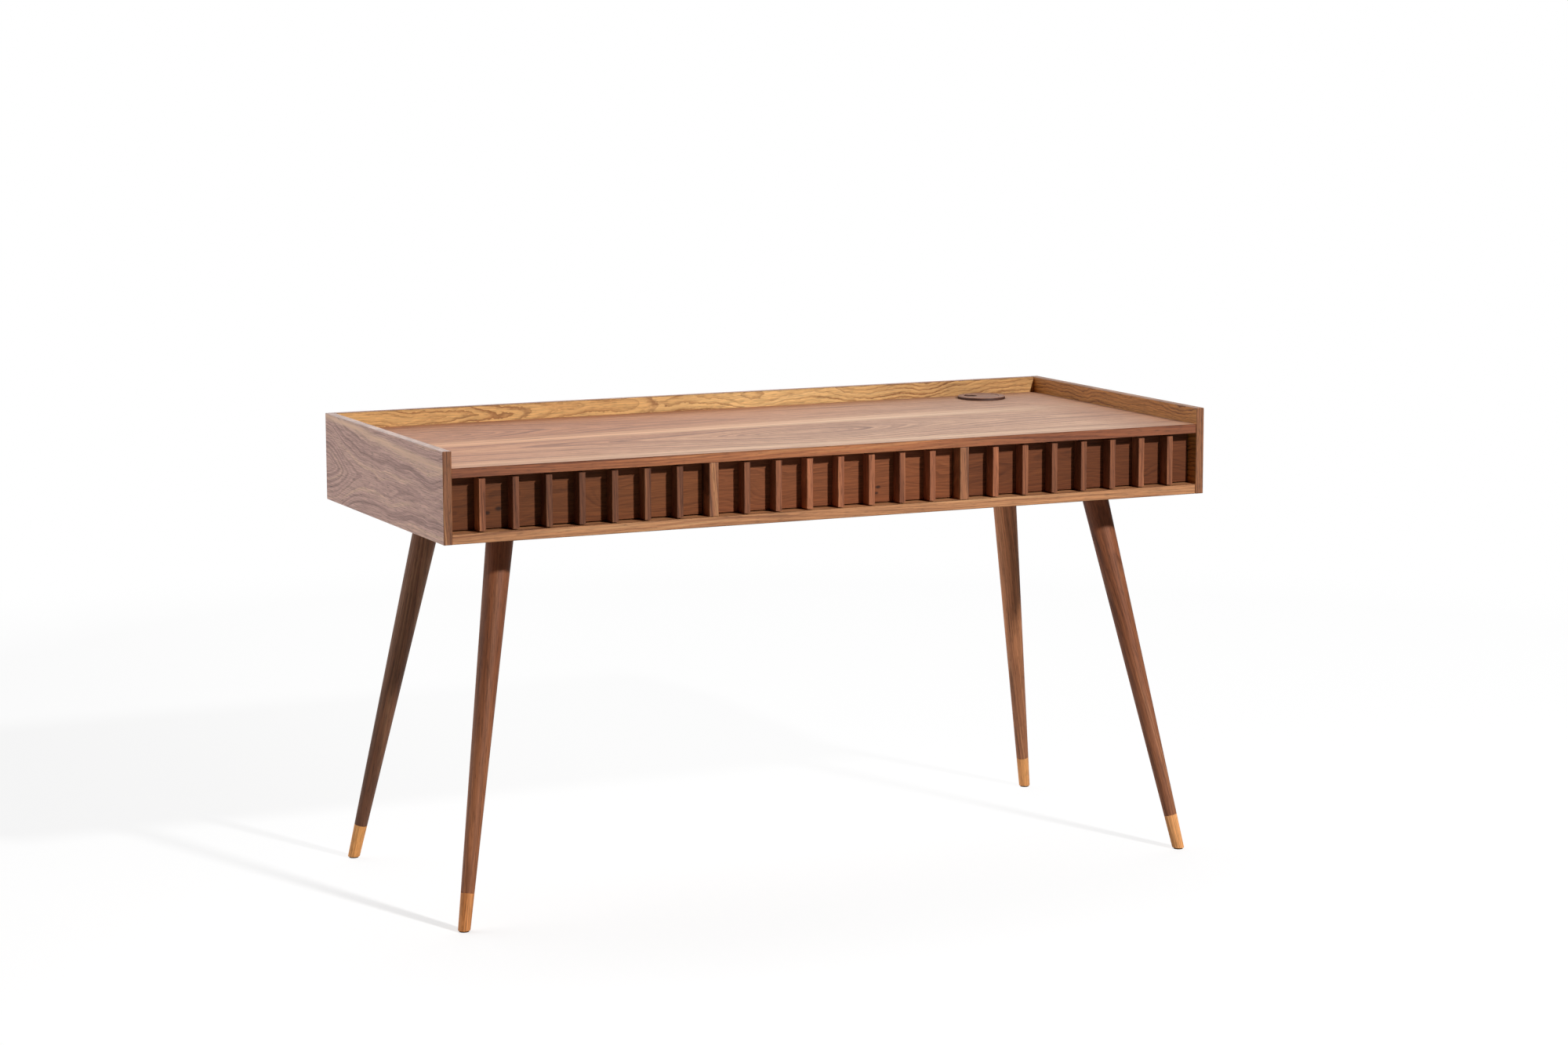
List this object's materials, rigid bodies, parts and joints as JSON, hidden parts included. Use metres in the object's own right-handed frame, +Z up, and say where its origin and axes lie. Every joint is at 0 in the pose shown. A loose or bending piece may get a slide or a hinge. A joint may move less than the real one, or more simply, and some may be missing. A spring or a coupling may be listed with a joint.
{
  "type": "writing desk",
  "caption": "Walnut writing desk with a raised rim on three sides, slatted pull-out drawers, a cable grommet and splayed tapered legs with pale tips.",
  "frame": {"origin": "on the floor, below the middle of the carcass", "axes": "+X to the right along the width, seen from the sitter's side; the front faces -Y; +Z up"},
  "size_m": [1.4, 0.6, 0.785],
  "materials": {
    "walnut_veneer": "matt oiled walnut veneer",
    "desktop_veneer": "matt oiled walnut veneer, long grain",
    "drawer_veneer": "matt oiled walnut veneer, level grain",
    "walnut_solid": "matt oiled solid walnut",
    "oak": "matt oiled oak",
    "beech": "raw beech",
    "plated_steel": "bright zinc plated sheet steel",
    "glide": "dark felt-faced nylon"
  },
  "bodies": {
    "carcass": {"left_side_panel": "walnut_veneer", "right_side_panel": "walnut_veneer", "back_panel": "walnut_veneer", "bottom_panel": "walnut_veneer", "left_divider": "walnut_veneer", "right_divider": "walnut_veneer", "desktop": "desktop_veneer", "carcass_dowels": "beech", "grommet_ring": "walnut_solid", "front_left_leg": "walnut_solid", "front_left_leg_tip": "oak", "front_right_leg": "walnut_solid", "front_right_leg_tip": "oak", "back_left_leg": "walnut_solid", "back_left_leg_tip": "oak", "back_right_leg": "walnut_solid", "back_right_leg_tip": "oak", "leg_plates": "plated_steel", "leg_plate_screws": "plated_steel", "leg_bolts": "plated_steel", "foot_glides": "glide", "left_drawer_left_fixed_rail": "plated_steel", "left_drawer_right_fixed_rail": "plated_steel", "middle_drawer_left_fixed_rail": "plated_steel", "middle_drawer_right_fixed_rail": "plated_steel", "right_drawer_left_fixed_rail": "plated_steel", "right_drawer_right_fixed_rail": "plated_steel", "fixed_rail_screws": "plated_steel"},
    "left_drawer": {"left_drawer_front": "drawer_veneer", "left_drawer_slats": "walnut_solid", "left_drawer_left_side": "oak", "left_drawer_right_side": "oak", "left_drawer_back": "oak", "left_drawer_bottom": "oak", "left_drawer_left_inner_rail": "plated_steel", "left_drawer_right_inner_rail": "plated_steel", "left_drawer_rail_screws": "plated_steel"},
    "left_drawer_middle_rails": {"left_drawer_middle_rails": "plated_steel"},
    "middle_drawer": {"middle_drawer_front": "drawer_veneer", "middle_drawer_slats": "walnut_solid", "middle_drawer_left_side": "oak", "middle_drawer_right_side": "oak", "middle_drawer_back": "oak", "middle_drawer_bottom": "oak", "middle_drawer_left_inner_rail": "plated_steel", "middle_drawer_right_inner_rail": "plated_steel", "middle_drawer_rail_screws": "plated_steel"},
    "middle_drawer_middle_rails": {"middle_drawer_middle_rails": "plated_steel"},
    "right_drawer": {"right_drawer_front": "drawer_veneer", "right_drawer_slats": "walnut_solid", "right_drawer_left_side": "oak", "right_drawer_right_side": "oak", "right_drawer_back": "oak", "right_drawer_bottom": "oak", "right_drawer_left_inner_rail": "plated_steel", "right_drawer_right_inner_rail": "plated_steel", "right_drawer_rail_screws": "plated_steel"},
    "right_drawer_middle_rails": {"right_drawer_middle_rails": "plated_steel"},
    "grommet_lid": {"grommet_lid": "walnut_solid"}
  },
  "joints": [
    {"name": "left_drawer_slide", "type": "slide", "parent": "carcass", "child": "left_drawer", "axis": [0, -1, 0], "range_m": [0, 0.38]},
    {"name": "middle_drawer_slide", "type": "slide", "parent": "carcass", "child": "middle_drawer", "axis": [0, -1, 0], "range_m": [0, 0.38]},
    {"name": "right_drawer_slide", "type": "slide", "parent": "carcass", "child": "right_drawer", "axis": [0, -1, 0], "range_m": [0, 0.38]},
    {"name": "left_drawer_middle_rails_slide", "type": "slide", "parent": "carcass", "child": "left_drawer_middle_rails", "axis": [0, -1, 0], "range_m": [0, 0.19]},
    {"name": "middle_drawer_middle_rails_slide", "type": "slide", "parent": "carcass", "child": "middle_drawer_middle_rails", "axis": [0, -1, 0], "range_m": [0, 0.19]},
    {"name": "right_drawer_middle_rails_slide", "type": "slide", "parent": "carcass", "child": "right_drawer_middle_rails", "axis": [0, -1, 0], "range_m": [0, 0.19]},
    {"name": "grommet_lid_lift", "type": "slide", "parent": "carcass", "child": "grommet_lid", "axis": [0, 0, 1], "range_m": [0, 0.04]}
  ],
  "couplings": [
    {"joint": "left_drawer_middle_rails_slide", "follows": "left_drawer_slide", "ratio": 0.5},
    {"joint": "middle_drawer_middle_rails_slide", "follows": "middle_drawer_slide", "ratio": 0.5},
    {"joint": "right_drawer_middle_rails_slide", "follows": "right_drawer_slide", "ratio": 0.5}
  ]
}
